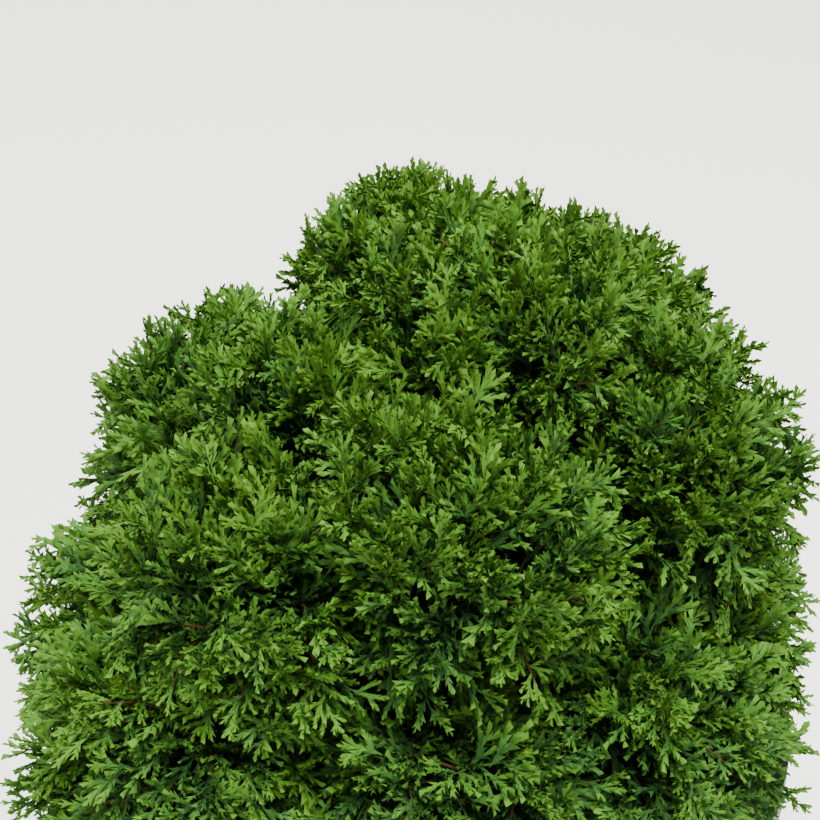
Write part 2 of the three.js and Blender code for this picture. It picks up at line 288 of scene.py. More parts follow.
def seeded(seed):
    """Numbers from 0 to 1 that are the same on every run, and the same as the solids' own."""
    state = seed

    def draw():
        nonlocal state
        state = (state * DRAW_FACTOR) % DRAW_RANGE
        return state / DRAW_RANGE

    return draw


def unit(vector):
    return vector / np.linalg.norm(vector)


def mixed(low, high, share):
    return low + (high - low) * share


def spread_direction(k, count):
    """The k-th of a number of directions spread evenly over a ball."""
    rise = 1 - 2 * (k + 0.5) / count
    flat = math.sqrt(1 - rise * rise)
    turn = k * GOLDEN_ANGLE
    return np.array([flat * math.cos(turn), flat * math.sin(turn), rise])


def on_curve(points, share):
    """The point of a Bezier curve at a share of its way."""
    points = [np.asarray(point, float) for point in points]
    while len(points) > 1:
        points = [mixed(a, b, share) for a, b in zip(points, points[1:])]
    return points[0]


# The masses and their spaces


class Mass:
    """A mass of foliage, its lobe and where its own stem starts."""

    def __init__(self, number, name, middle, reach, depth, fork):
        self.name = name
        self.seed = SEED_FIRST + SEED_STEP * number
        self.hub = np.array(middle, float)
        self.reach = reach
        self.depth = depth
        self.fork = fork

    def face_trunk(self, point):
        self.inward = unit(point - self.hub)
        self.stem_start = self.hub + self.inward * self.depth


def plane_between(mass, other):
    towards = other.hub - mass.hub
    apart = np.linalg.norm(towards)
    limit = (apart * apart + mass.reach**2 - other.reach**2) / (2 * apart)
    return towards / apart, limit


def skirt_plane(mass):
    """The underside of the crown, which falls outwards just clear of the pot's rim."""
    outward = unit(np.array([mass.hub[0], mass.hub[1], 0]))
    height = mass.hub[2] - POT_HEIGHT / MM - SKIRT_CLEAR
    beyond_rim = mass.hub @ outward - RIM_RADIUS / MM - SKIRT_CLEAR
    normal = -SKIRT_SLOPE * outward - UP
    length = np.linalg.norm(normal)
    return normal / length, (height + SKIRT_SLOPE * beyond_rim) / length


def bound_space(mass, masses):
    """Gives a mass the planes that its neighbours, its bough and the pot leave it."""
    planes = [plane_between(mass, other) for other in masses if other is not mass]
    mass.slack = np.array([SEAM_CROSSING] * len(planes) + [0.0])
    planes.append((mass.inward, mass.depth))
    mass.skirt = None if mass is masses[0] else skirt_plane(mass)
    mass.normals = np.array([normal for normal, _ in planes])
    mass.limits = np.array([limit for _, limit in planes])


def free_reach(mass, direction):
    """How far the space reaches from the lobe's middle in a direction."""
    normals, limits = mass.normals, mass.limits
    if mass.skirt:
        normals = np.vstack([normals, mass.skirt[0]])
        limits = np.append(limits, mass.skirt[1])
    facing = np.maximum(normals @ direction, LEAST_FACING)
    return min(mass.reach, ((limits - SPACE_MARGIN) / facing).min())


def is_inside(mass, points):
    """Whether points keep to the mass's lobe. They may cross a seam a little, and hang over the pot's rim."""
    from_hub = points - mass.hub
    if (np.einsum("ij,ij->i", from_hub, from_hub) > mass.reach**2).any():
        return False
    if (from_hub @ mass.normals.T > mass.limits + mass.slack - SPACE_MARGIN).any():
        return False
    if not mass.skirt:
        return True
    below = from_hub @ mass.skirt[0] - mass.skirt[1] + SPACE_MARGIN
    beyond_rim = np.hypot(points[:, 0], points[:, 1]) > RIM_RADIUS / MM + RIM_CLEAR
    return bool((below < np.where(beyond_rim, SKIRT_DROP, 0)).all())


def trunk_points():
    foot = np.array([0, 0, TRUNK_FOOT_HEIGHT / MM])
    tip = np.array(MASSES[0][1], float) - UP * (MASSES[0][3] + GAP)
    rise = tip[2] - foot[2]
    return foot, foot + UP * rise * TRUNK_UPRIGHT, tip - UP * rise * TRUNK_UPRIGHT, tip


def bough_points(mass):
    start = on_curve(trunk_points(), mass.fork)
    end = mass.stem_start + mass.inward * GAP
    half = np.linalg.norm(start - end) / 2
    return start, end + mass.inward * half, end


def all_masses():
    trunk = trunk_points()
    masses = [Mass(number, *row) for number, row in enumerate(MASSES)]
    for mass in masses:
        top = mass is masses[0]
        mass.face_trunk(trunk[-1] if top else on_curve(trunk, mass.fork + BOUGH_RISE))
    for mass in masses:
        bound_space(mass, masses)
    return masses


# A spray of scale leaves


def flat_ways(heading):
    """The way ahead and the way to its right, in a spray's plane."""
    ahead = np.array([math.sin(heading), math.cos(heading)])
    return ahead, np.array([ahead[1], -ahead[0]])


def scale_pair(place, heading, back, halves, tilt, point, front):
    """Two scale leaves that clasp the shoot, with their points on either side of it and ahead of the place.
    The tilt turns them round the shoot, and the ridge between them ends at front."""
    ahead, side = flat_ways(heading)
    side = side * math.cos(tilt)
    rise = math.sin(tilt)
    right, left = halves
    points = place + ahead * point
    return np.array((
        (*(place - ahead * back), 0),
        (*(points + side * right), rise * right - SCALE_DROOP),
        (*(place + ahead * front), SCALE_RIDGE),
        (*(points - side * left), -rise * left - SCALE_DROOP),
    ))


def shoot(draw, start, heading, bend, length, slope, step):
    """A round shoot of overlapping scale leaves, along a line that bends in the spray's plane and slopes out
    of it. Gives each pair's corners and how far along the shoot it is."""
    count = max(2, round(length / step))
    place = np.array(start, float)
    pairs = []
    for k in range(count):
        share = (k + 1) / count
        angle = heading + bend * share
        place = place + flat_ways(angle)[0] * length / count
        half = SCALE_HALF_WIDTH * mixed(*SHOOT_WIDTHS, share)
        point, front = SCALE_POINT, SCALE_FRONT
        if k + 1 == count:
            half, point, front = END_HALF_WIDTH, END_POINT, END_FRONT
        halves = [half * mixed(*SCALE_SIZES, draw()) for _ in range(2)]
        back = step * SCALE_OVERLAP
        tilt = SCALE_TILT if k % 2 else -SCALE_TILT
        corners = scale_pair(place, angle, back, halves, tilt, point, front)
        corners[:, 2] += slope * share * length
        corners[0, 2] -= slope * back
        pairs.append((corners, share))
    return pairs


def spray_shoots(draw, step, sides):
    """A main shoot and short side shoots, to its left and right by turns."""
    bend = SPRAY_BEND * (draw() - 0.5)
    length = SPRAY_NOMINAL
    pairs = shoot(draw, (0, 0), 0, bend, length, 0, step)
    first_side = 1 if draw() > 0.5 else -1
    for k, (share, size) in enumerate(sides):
        side = first_side if k % 2 else -first_side
        share = share + SIDE_SHIFT * (draw() - 0.5)
        start = (math.sin(bend * share / 2) * share * length, share * length)
        heading = bend * share + side * SIDE_ANGLE * mixed(*SIDE_ANGLES, draw())
        reach = length * size * mixed(*SIDE_SIZES, draw())
        slope = SIDE_SLOPE * (draw() - 0.5)
        pairs += shoot(draw, start, heading, -side * SIDE_BEND, reach, slope, step)
    return pairs


def spray_variant(number, plain):
    """One spray, one long, as corners, faces and tones. It cups and nods a little."""
    draw = seeded(SPRAY_SEED + SPRAY_SEED_STEP * number)
    if plain:
        leaves = spray_shoots(draw, PLAIN_STEP, SIDE_SHOOTS[:1])
    else:
        leaves = spray_shoots(draw, SCALE_STEP, SIDE_SHOOTS[: 2 + number % 2])
    corners = np.array([corner for four, _ in leaves for corner in four], float)
    cup = SPRAY_CUP * mixed(*CUP_RANGE, draw())
    nod = SPRAY_NOD * mixed(*NOD_RANGE, draw())
    corners[:, 2] -= cup * corners[:, 0] ** 2 + nod * corners[:, 1] ** 2
    faces = []
    tones = []
    for k, (_, along) in enumerate(leaves):
        back, right, front, left = range(4 * k, 4 * k + 4)
        faces += [(back, right, front), (back, front, left)]
        # Painted shade at the shoot's base; its paler tip is partly fresh growth and partly painted light.
        tones += [SPRAY_CONTRAST * (along - SPRAY_MIDDLE)] * 2
    return corners / SPRAY_NOMINAL, np.array(faces), np.array(tones)


class Sprays:
    """The sprays of one mass, each with its root, its way, its upper side, its length and its tone."""

    def __init__(self):
        self.rows = []

    def add(self, root, along, upper, length, tone, variant):
        across = np.cross(along, upper)
        self.rows.append((root, across, along, upper, length, tone, variant))


SPRAY_PROBES = np.array([(0, 1.1, 0), (0.3, 1, 0), (-0.3, 1, 0), (0.2, 0.4, 0), (-0.2, 0.4, 0)])


def placed(corners, root, across, along, upper, length):
    axes = np.array([across, along, upper]) * length
    return corners @ axes + root


def add_fitting(sprays, mass, root, along, upper, length, tone, variant):
    """Adds a spray at the first size that keeps to the mass's space."""
    across = np.cross(along, upper)
    for size in SHRINK:
        if is_inside(mass, placed(SPRAY_PROBES, root, across, along, upper, length * size)):
            sprays.add(root, along, upper, length * size, tone, variant)
            return


def grow_frond(sprays, twigs, mass, base, root, along, upper, length, tone, plain, draw, fan=1):
    """A flat frond: a fine twig that leaves its parent at base and carries a fan of sprays from root on."""
    across = np.cross(along, upper)
    nod = FROND_NOD * (draw() - NOD_MIDDLE)
    before = len(sprays.rows)
    for share, turn, size in FROND_SPRAYS[: PLAIN_SPRAYS if plain else None]:
        angle = turn * fan + SPRAY_TURN * (draw() - 0.5)
        lift = SPRAY_LIFT * (draw() - LIFT_MIDDLE) - nod * max(0, share)
        way = unit(along * math.cos(angle) + across * math.sin(angle) + upper * lift)
        twist = SPRAY_TWIST * (draw() - 0.5)
        face = unit(upper - way * (way @ upper))
        face = face * math.cos(twist) + np.cross(way, face) * math.sin(twist)
        start = root + along * length * share
        reach = length * size * mixed(*SPRAY_SIZES, draw())
        variant = int(draw() * SPRAY_VARIANTS) + (SPRAY_VARIANTS if plain else 0)
        # Sprays near the frond's base get painted shade; those at its end are lighter, partly fresh growth
        # and partly painted light.
        spray_tone = tone + SPRAY_TONES * (draw() - 0.5) + FROND_CONTRAST * (share - FROND_MIDDLE)
        add_fitting(sprays, mass, start, way, face, reach, spray_tone, variant)
    if len(sprays.rows) < before + FROND_LEAST:
        del sprays.rows[before:]
    else:
        twigs.append((base, root, root + along * length * FROND_AXIS))


def lean_of(direction, turn):
    """A way along the crown's surface: 0 is uphill, and the turn goes round from it."""
    level = unit(np.cross(UP, direction))
    uphill = np.cross(direction, level)
    return uphill * math.cos(turn) + level * math.sin(turn)


def frond_frame(direction, lean, amount):
    along = unit(direction + lean * amount)
    upper = unit(direction * amount - lean)
    return along, upper


def mood(point):
    """Slow changes of tone over the crown."""
    return MOOD_TONE * noise.noise(Vector(point / MOOD_SIZE))


def tuft(point):
    """How far the foliage stands out in tufts, or falls back between them, from about -1 to 1."""
    return 2 * noise.noise(Vector(point / TUFT_SIZE))


# The tone rises with height: painted light on the upper crown, painted shade on the lower.
def tone_at(point, offset):
    return MIDDLE_TONE + offset + mood(point) + HEIGHT_PAINTED_LIGHT * (point[2] - DROOP_BELOW) / HEIGHT_SPAN


def grow_mass(mass):
    """Everything that a mass of foliage carries: its main twigs, its fronds and its sprays."""
    sprays = Sprays()
    mains = []
    fines = []
    draw = seeded(mass.seed)
    fine = seeded(mass.seed + FINE_SEED)
    for k in range(TWIG_DIRECTIONS):
        jitter = np.array([draw() - 0.5, draw() - 0.5, draw() - 0.5])
        direction = unit(spread_direction(k, TWIG_DIRECTIONS) + jitter * TWIG_JITTER)
        free = free_reach(mass, direction)
        if free < OPEN_SHARE * mass.reach:
            continue
        fork = mass.hub + direction * free * FORK_SHARE
        mains.append((direction, fork))
        upright = 0 if fork[2] > DROOP_BELOW else math.pi
        for side in (-1, 1):
            turn = upright + side * FORK_TURN + FORK_JITTER * (draw() - 0.5)
            lean = lean_of(direction, turn)
            along, upper = frond_frame(direction, lean, LEAN_OUT)
            length = FROND_LENGTH * mixed(*FROND_SIZES, draw())
            tone = tone_at(fork, MAIN_TONE)
            grow_frond(sprays, fines, mass, fork, fork, along, upper, length, tone, False, fine)
    grow_shells(sprays, fines, mass, mains, fine)
    return sprays, mains, fines


def grow_shells(sprays, fines, mass, mains, draw):
    """The finer twigs of a mass, each from the main twig that is nearest to its way."""
    ways = np.array([direction for direction, _ in mains])
    for shell in SHELLS:
        for k in range(shell["count"]):
            jitter = np.array([draw() - 0.5, draw() - 0.5, draw() - 0.5])
            direction = unit(spread_direction(k, shell["count"]) + jitter * FINE_JITTER)
            free = free_reach(mass, direction)
            if free < shell["open"] * mass.reach:
                continue
            parent, fork = mains[int(np.argmax(ways @ direction))]
            plume = not shell["plain"] and draw() < PLUME_SHARE
            amount = mixed(*(PLUME_LEAN if plume else LEAN_RANGE), draw() ** LEAN_POWER)
            length = mixed(*(PLUME_LENGTHS if plume else FINE_LENGTHS), draw())
            surface = mass.hub + direction * free
            proud = tuft(surface)
            if not shell["plain"] and proud < TUFT_GAP:
                continue
            out = shell["tips"] + shell["spread"] * (2 * draw() - 1) + TUFT_DEPTH / 2 * proud
            tips = free if plume else free * min(1, out)
            rise = length / math.sqrt(1 + amount * amount)
            root = mass.hub + direction * max(tips - rise, LEAST_DEPTH * free)
            hanging = (DROOP_BELOW - root[2]) / HANGING_SPAN + HANGING_JITTER * (draw() - 0.5)
            upright = math.pi if hanging > 0 and not plume else 0
            lean = lean_of(direction, upright + FINE_TURN * (draw() - 0.5))
            along, upper = frond_frame(direction, lean, amount)
            base = mass.hub + parent * np.linalg.norm(fork - mass.hub) * mixed(*BRANCH_SHARES, draw())
            # The inner shells' lower tone is painted shade, and sprays on tufts are painted lighter and those
            # in the hollows darker: painted light and shade.
            tone = tone_at(root, shell["tone"] + (PLUME_TONE if plume else TUFT_PAINTED_SHADE * proud))
            if not shell["plain"] and draw() < YELLOWED_SHARE:
                tone = YELLOWED
            fan = PLUME_FAN if plume else 1
            grow_frond(sprays, fines, mass, base, root, along, upper, length, tone, shell["plain"], draw, fan)


# Meshes from arrays


def mesh_of(name, corners, faces, slots=None, materials=()):
    """A mesh object from corners in millimetres and faces that all have the same number of corners."""
    mesh = bpy.data.meshes.new(name)
    count, sides = faces.shape
    mesh.vertices.add(len(corners))
    mesh.vertices.foreach_set("co", (corners * MM).astype(np.float32).ravel())
    mesh.loops.add(count * sides)
    mesh.loops.foreach_set("vertex_index", faces.astype(np.int32).ravel())
    mesh.polygons.add(count)
    mesh.polygons.foreach_set("loop_start", np.arange(0, count * sides, sides, dtype=np.int32))
    for material in materials:
        mesh.materials.append(material)
    if slots is not None:
        mesh.polygons.foreach_set("material_index", slots.astype(np.int32))
    mesh.update(calc_edges=True)
    thing = bpy.data.objects.new(name, mesh)
    bpy.context.scene.collection.objects.link(thing)
    return thing


def spray_mesh(name, sprays, variants, finishes):
    corners, faces, slots = [], [], []
    total = 0
    for number, (shape, triangles, tones) in enumerate(variants):
        chosen = [row for row in sprays.rows if row[-1] == number]
        if not chosen:
            continue
        roots, across, along, upper, lengths, tone, _ = map(np.array, zip(*chosen))
        axes = np.stack((across, along, upper), 1)
        made = np.einsum("vi,sij,s->svj", shape, axes, lengths) + roots[:, None, :]
        starts = total + np.arange(len(chosen)) * len(shape)
        corners.append(made.reshape(-1, 3))
        faces.append((triangles[None] + starts[:, None, None]).reshape(-1, 3))
        greens = np.clip(np.round(tone[:, None] + tones[None]), 0, len(finishes) - 2)
        slots.append(np.where(tone[:, None] < YELLOWED / 2, greens, len(finishes) - 1).ravel())
        total += len(chosen) * len(shape)
    return mesh_of(name, np.vstack(corners), np.vstack(faces), np.concatenate(slots), finishes)


def tube_mesh(name, lines, radii, sides, finishes, slots):
    """Fine twigs as tubes through the same number of points each."""
    lines = np.array(lines)
    count, rings, _ = lines.shape
    ahead = np.gradient(lines, axis=1)
    ahead /= np.linalg.norm(ahead, axis=2, keepdims=True)
    along_x = np.abs(ahead[..., :1]) > NEARLY_ALONG_X
    crosswise = np.where(along_x, (0.0, 1.0, 0.0), (1.0, 0.0, 0.0))
    side = np.cross(crosswise, ahead)
    side /= np.linalg.norm(side, axis=2, keepdims=True)
    other = np.cross(ahead, side)
    angles = np.arange(sides) * 2 * math.pi / sides
    ring = side[:, :, None] * np.cos(angles)[:, None] + other[:, :, None] * np.sin(angles)[:, None]
    corners = lines[:, :, None] + ring * np.asarray(radii)[None, :, None, None]
    near = np.arange(sides)
    far = (near + 1) % sides
    starts = [k * sides for k in range(rings - 1)]
    quads = [np.stack([k + near, k + far, k + sides + far, k + sides + near], 1) for k in starts]
    quads = np.vstack(quads)
    faces = (quads[None] + (np.arange(count) * rings * sides)[:, None, None]).reshape(-1, 4)
    chosen = np.repeat(np.asarray(slots), len(quads))
    return mesh_of(name, corners.reshape(-1, 3), faces, chosen, finishes)


# Finishes


def paint(red, green, blue):
    """A colour as the eye sees it, 0 to 255 each, as the linear colour that a shader takes."""
    values = [value / 255 for value in (red, green, blue)]
    return tuple(v / 12.92 if v <= 0.04045 else ((v + 0.055) / 1.055) ** 2.4 for v in values)


class Link:
    """An output of a node, so that shader maths is written as an expression."""

    def __init__(self, finish, socket):
        self.finish = finish
        self.socket = socket

    def math(self, operation, *values):
        return self.finish.node("ShaderNodeMath", {"operation": operation}, *values)

    def __add__(self, other):
        return self.math("ADD", self, other)

    def __mul__(self, other):
        return self.math("MULTIPLY", self, other)

    __radd__ = __add__
    __rmul__ = __mul__


class Finish:
    """A material under construction, with its shader."""

    def __init__(self, name, colour, roughness):
        self.material = bpy.data.materials.new(name)
        self.material.use_nodes = True
        self.tree = self.material.node_tree
        self.shader = next(node for node in self.tree.nodes if node.type == "BSDF_PRINCIPLED")
        self.feed(self.shader.inputs["Base Color"], (*colour, 1))
        self.feed(self.shader.inputs["Roughness"], roughness)
        self.material.diffuse_color = (*colour, 1)

    def feed(self, socket, value):
        if isinstance(value, Link):
            self.tree.links.new(value.socket, socket)
        else:
            socket.default_value = value

    def node(self, kind, settings=None, *values, output=0, **named):
        made = self.tree.nodes.new(kind)
        for key, value in (settings or {}).items():
            setattr(made, key, value)
        for socket, value in zip(made.inputs, values):
            self.feed(socket, value)
        for key, value in named.items():
            self.feed(made.inputs[key.replace("_", " ")], value)
        return Link(self, made.outputs[output])

    def place(self, stretch=(1, 1, 1)):
        """The place on the piece, in metres, stretched along each axis."""
        where = self.node("ShaderNodeTexCoord", output="Object")
        return self.node("ShaderNodeMapping", None, Vector=where, Scale=stretch)

    def clouds(self, scale, detail=4, stretch=(1, 1, 1)):
        return self.node("ShaderNodeTexNoise", None, Vector=self.place(stretch), Scale=scale, Detail=detail)

    def ramp(self, value, low, high):
        """0 up to low, 1 from high on."""
        return self.node("ShaderNodeMapRange", None, Value=value, **{"From_Min": low, "From_Max": high})

    def mix(self, factor, first, second):
        made = self.tree.nodes.new("ShaderNodeMix")
        made.data_type = "RGBA"
        self.feed(made.inputs["Factor"], factor)
        for socket, value in zip([s for s in made.inputs if s.type == "RGBA"], (first, second)):
            self.feed(socket, value if isinstance(value, Link) else (*value, 1))
        return Link(self, next(s for s in made.outputs if s.type == "RGBA"))

    def bump(self, height, distance, strength=1.0):
        bumped = self.node("ShaderNodeBump", None, Height=height, Distance=distance, Strength=strength)
        self.feed(self.shader.inputs["Normal"], bumped)

    def colour(self, value):
        self.feed(self.shader.inputs["Base Color"], value)

    def roughness(self, value):
        self.feed(self.shader.inputs["Roughness"], value)


def leaf_tones(colours):
    """Plain leaf colours, lit and shaded copies of one green, from the painted shade inside the crown to the
    fresh tips, which are partly painted light, and the yellowed one last.
    """
    names = ("shade", "deep", "dark", "leaf", "bright", "fresh", "tip", "yellowed")
    finishes = [Finish("scale_leaf_" + name, getattr(colours, name), LEAF_ROUGHNESS) for name in names]
    for number, finish in enumerate(finishes):
        finish.shader.inputs["Specular IOR Level"].default_value = LEAF_GLOSS * number
    return [finish.material for finish in finishes]


def twig_tones(colours):
    finishes = [
        Finish("twig_brown", colours.twig_brown, roughness=0.9),
        Finish("twig_green", colours.twig_green, roughness=0.8),
    ]
    for finish in finishes:
        finish.shader.inputs["Specular IOR Level"].default_value = TWIG_GLOSS
    return [finish.material for finish in finishes]


def stringy_bark(colours):
    finish = Finish("stringy_bark", colours.bark, roughness=0.9)
    strands = finish.clouds(scale=900, detail=6, stretch=(1, 1, 0.12))
    patches = finish.clouds(scale=120, detail=3)
    brown = finish.mix(finish.ramp(strands, 0.35, 0.65), colours.bark_groove, colours.bark)
    finish.colour(finish.mix(finish.ramp(patches, 0.5, 0.75), brown, colours.bark_grey))
    finish.roughness(finish.ramp(strands, 0.2, 0.8) * 0.15 + 0.78)
    finish.bump(strands, distance=0.0006)
    return finish.material


def moulded_plastic(colours):
    """Charcoal nursery-pot plastic: satin, with a fine grain, rubbed streaks, and dried drips and specks of
    soil that gather near the foot."""
    finish = Finish("moulded_plastic", colours.plastic, roughness=0.45)
    finish.shader.inputs["Specular IOR Level"].default_value = POT_GLOSS
    grain = finish.clouds(scale=2600, detail=2)
    streaks = finish.clouds(scale=210, detail=5, stretch=(1, 1, 0.05))
    drips = finish.clouds(scale=330, detail=3, stretch=(1, 1, 0.03))
    specks = finish.clouds(scale=900, detail=2)
    height = finish.node("ShaderNodeSeparateXYZ", None, finish.place(), output="Z")
    low = finish.ramp(height, 0.045, 0.0)
    rubbed = finish.ramp(streaks, 0.52, 0.78)
    dried = finish.ramp(drips + low * 0.08, 0.63, 0.8) * 0.2
    soiled = finish.ramp(specks + low * 0.16, 0.7, 0.76) * 0.45
    worn = finish.mix(rubbed * 0.4, colours.plastic, colours.plastic_rubbed)
    finish.colour(finish.mix(soiled, finish.mix(dried, worn, colours.dust), colours.dust))
    finish.roughness(0.4 + rubbed * 0.12 + dried * 0.5 + soiled * 0.4)
    finish.bump(grain, distance=0.00008, strength=0.6)
    return finish.material


def crumbled_mix(colours):
    finish = Finish("crumbled_mix", colours.mix, roughness=0.95)
    crumbs = finish.clouds(scale=420, detail=6)
    fibres = finish.clouds(scale=1500, detail=3)
    brown = finish.mix(finish.ramp(crumbs, 0.4, 0.62), colours.mix_dark, colours.mix)
    finish.colour(finish.mix(finish.ramp(fibres, 0.62, 0.72), brown, colours.mix_fibre))
    finish.bump(crumbs + fibres * 0.4, distance=0.001)
    return finish.material


def pale_floor(stage):
    return Finish("pale_floor", stage.floor_colour, roughness=0.9).material


# Making and finishing pieces


def deselect():
    for thing in bpy.context.selected_objects:
        thing.select_set(False)
    bpy.context.view_layer.objects.active = None


def keep(piece, slot, *nodes):
    """The piece rides on the plant's one body and stands for its nodes. Its slot is not used."""
    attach(piece, "root")
    if nodes:
        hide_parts(*nodes)
    return piece


def apply_modifier(piece, kind, **settings):
    deselect()
    piece.select_set(True)
    bpy.context.view_layer.objects.active = piece
    modifier = piece.modifiers.new(kind.title(), kind)
    for key, value in settings.items():
        setattr(modifier, key, value)
    bpy.ops.object.modifier_apply(modifier=modifier.name)


def settle(piece):
    """Puts a finished piece's place into its mesh."""
    deselect()
    piece.select_set(True)
    bpy.context.view_layer.objects.active = piece
    bpy.ops.object.transform_apply(location=True, rotation=True, scale=True)


def start_disc(name, radius, height, sides):
    deselect()
    place = (0, 0, height)
    bpy.ops.mesh.primitive_circle_add(vertices=sides, radius=radius, fill_type="NGON", location=place)
    piece = bpy.context.object
    piece.name = name
    piece.data.name = name
    bpy.ops.object.transform_apply(location=True, rotation=True, scale=True)
    bpy.ops.object.mode_set(mode="EDIT")
    bpy.ops.mesh.select_all(action="SELECT")
    return piece


def turn_up(profile, radius, height):
    """Extrudes the selected disc from (radius, height) through the [radius, height] points of a profile."""
    for next_radius, next_height in profile:
        bpy.ops.mesh.extrude_region_move(TRANSFORM_OT_translate={"value": (0, 0, next_height - height)})
        share = next_radius / radius
        bpy.ops.transform.resize(value=(share, share, 1), center_override=(0, 0, next_height))
        radius, height = next_radius, next_height


def inner_radius(height):
    top = RIM_RADIUS - BAND_PROUD - POT_WALL
    return mixed(FOOT_RADIUS - POT_WALL, top, height / POT_HEIGHT)


def outer_radius(height):
    return inner_radius(height) + POT_WALL


def bead(height):
    """The [radius, height] points of a raised ring round the pot."""
    half = BEAD_WIDTH / 2
    return (
        (outer_radius(height - half), height - half),
        (outer_radius(height - half / 2) + BEAD_PROUD, height - half / 2),
        (outer_radius(height + half / 2) + BEAD_PROUD, height + half / 2),
        (outer_radius(height + half), height + half),
    )


def limb_mesh(name, points, radii, sides, rings):
    """A limb from a Bezier curve with a round section, which tapers from one radius to the other."""
    deselect()
    bpy.ops.curve.primitive_bezier_curve_add(location=(0, 0, 0))
    limb = bpy.context.object
    limb.name = name
    curve = limb.data
    first, last = curve.splines[0].bezier_points
    handles = [Vector(point) * MM for point in points]
    if len(handles) == 3:
        start, control, end = handles
        handles = [start, start.lerp(control, 2 / 3), end.lerp(control, 2 / 3), end]
    for point in (first, last):
        point.handle_left_type = "FREE"
        point.handle_right_type = "FREE"
    first.co, first.handle_right, last.handle_left, last.co = handles
    first.handle_left = first.co - (first.handle_right - first.co)
    last.handle_right = last.co + (last.co - last.handle_left)
    first.radius, last.radius = [radius * MM for radius in radii]
    curve.splines[0].radius_interpolation = "LINEAR"
    curve.dimensions = "3D"
    curve.resolution_u = rings
    curve.bevel_depth = 1
    curve.bevel_resolution = sides // 2 - 2
    curve.use_fill_caps = True
    bpy.ops.object.convert(target="MESH")
    limb = bpy.context.object
    limb.data.name = name
    return limb


def middle_line(points, rings):
    """Points along the middle of a limb, one for each of its rings."""
    return np.array([on_curve(points, k / rings) for k in range(rings + 1)])


def ridge_bark(limb, line, depth):
    """Moves a limb's points in and out along stringy ridges that run along it."""
    for vertex in limb.data.vertices:
        place = vertex.co / MM
        share = np.argmin(np.linalg.norm(line - np.array(place), axis=1))
        away = place - Vector(line[share])
        angle = math.atan2(away.y, away.x)
        across = (STRANDS_ROUND * math.cos(angle), STRANDS_ROUND * math.sin(angle))
        strand = noise.noise(Vector((*across, place.z / STRAND_LENGTH)))
        flake = noise.noise(place / FLAKE_SIZE)
        vertex.co += vertex.normal * MM * depth * (STRAND_RELIEF * strand + FLAKE_RELIEF * flake)


# Settings


def colour_setting(name, description, default):
    return bpy.props.FloatVectorProperty(
        name=name, description=description, default=default, subtype="COLOR", min=0, max=1
    )


def length_setting(name, description, default):
    return bpy.props.FloatProperty(name=name, description=description, default=default, unit="LENGTH", min=0)


class PlantColours(bpy.types.PropertyGroup):
    # Lit and shaded copies of one leaf green: the three darkest are painted shade, bright is painted light,
    # and fresh and tip are partly this year's paler growth and partly painted light.
    shade: colour_setting("Shade", "Leaves deep inside the crown", paint(22, 42, 18))
    deep: colour_setting("Deep", "Leaves behind the outer sprays", paint(28, 54, 22))
    dark: colour_setting("Dark", "Bases of the outer sprays", paint(37, 67, 27))
    leaf: colour_setting("Leaf", "The middle green of the crown", paint(51, 87, 31))
    bright: colour_setting("Bright", "Sprays in the light", paint(62, 101, 29))
    fresh: colour_setting("Fresh", "This year's growth", paint(67, 106, 27))
    tip: colour_setting("Tip", "The palest tips", paint(69, 107, 25))
    yellowed: colour_setting("Yellowed", "The few sprays that have yellowed", paint(112, 124, 36))
    twig_brown: colour_setting("Brown twig", "Older twigs", paint(62, 42, 24))
    twig_green: colour_setting("Green twig", "Young twigs", paint(40, 62, 18))
    bark: colour_setting("Bark", "Strands of bark", paint(118, 84, 62))
    bark_groove: colour_setting("Bark groove", "Between the strands", paint(58, 38, 28))
    bark_grey: colour_setting("Weathered bark", "Where the bark has greyed", paint(134, 116, 100))


class PotColours(bpy.types.PropertyGroup):
    plastic: colour_setting("Plastic", "The pot's own colour", paint(14, 14, 16))
    plastic_rubbed: colour_setting("Rubbed plastic", "Where the pot is rubbed", paint(32, 32, 35))
    dust: colour_setting("Dust", "Dried potting dust", paint(112, 98, 82))
    mix: colour_setting("Potting mix", "Crumbs of the mix", paint(96, 72, 53))
    mix_dark: colour_setting("Damp mix", "The mix between the crumbs", paint(50, 37, 28))
    mix_fibre: colour_setting("Fibres", "Pale fibres in the mix", paint(150, 122, 90))
    pot_sides: bpy.props.IntProperty(
        name="Sides", description="Sides of the pot's circle", default=128, min=16
    )


class StageSettings(bpy.types.PropertyGroup):
    floor_size: length_setting("Floor", "Side of the square floor", 8)
    floor_colour: colour_setting("Floor colour", "The pale floor", paint(244, 244, 237))
    camera_distance: length_setting("Camera distance", "From the camera to the crown's middle", 0.52)
    camera_elevation: bpy.props.FloatProperty(
        name="Camera elevation",
        description="How far the camera looks down",
        default=math.radians(38),
        subtype="ANGLE",
    )
    camera_lens: bpy.props.FloatProperty(
        name="Lens", description="Focal length in millimetres", default=91.3, min=1
    )
    camera_raise: length_setting("Raised aim", "How far above the crown's middle the camera aims", 0.0475)


# Operators


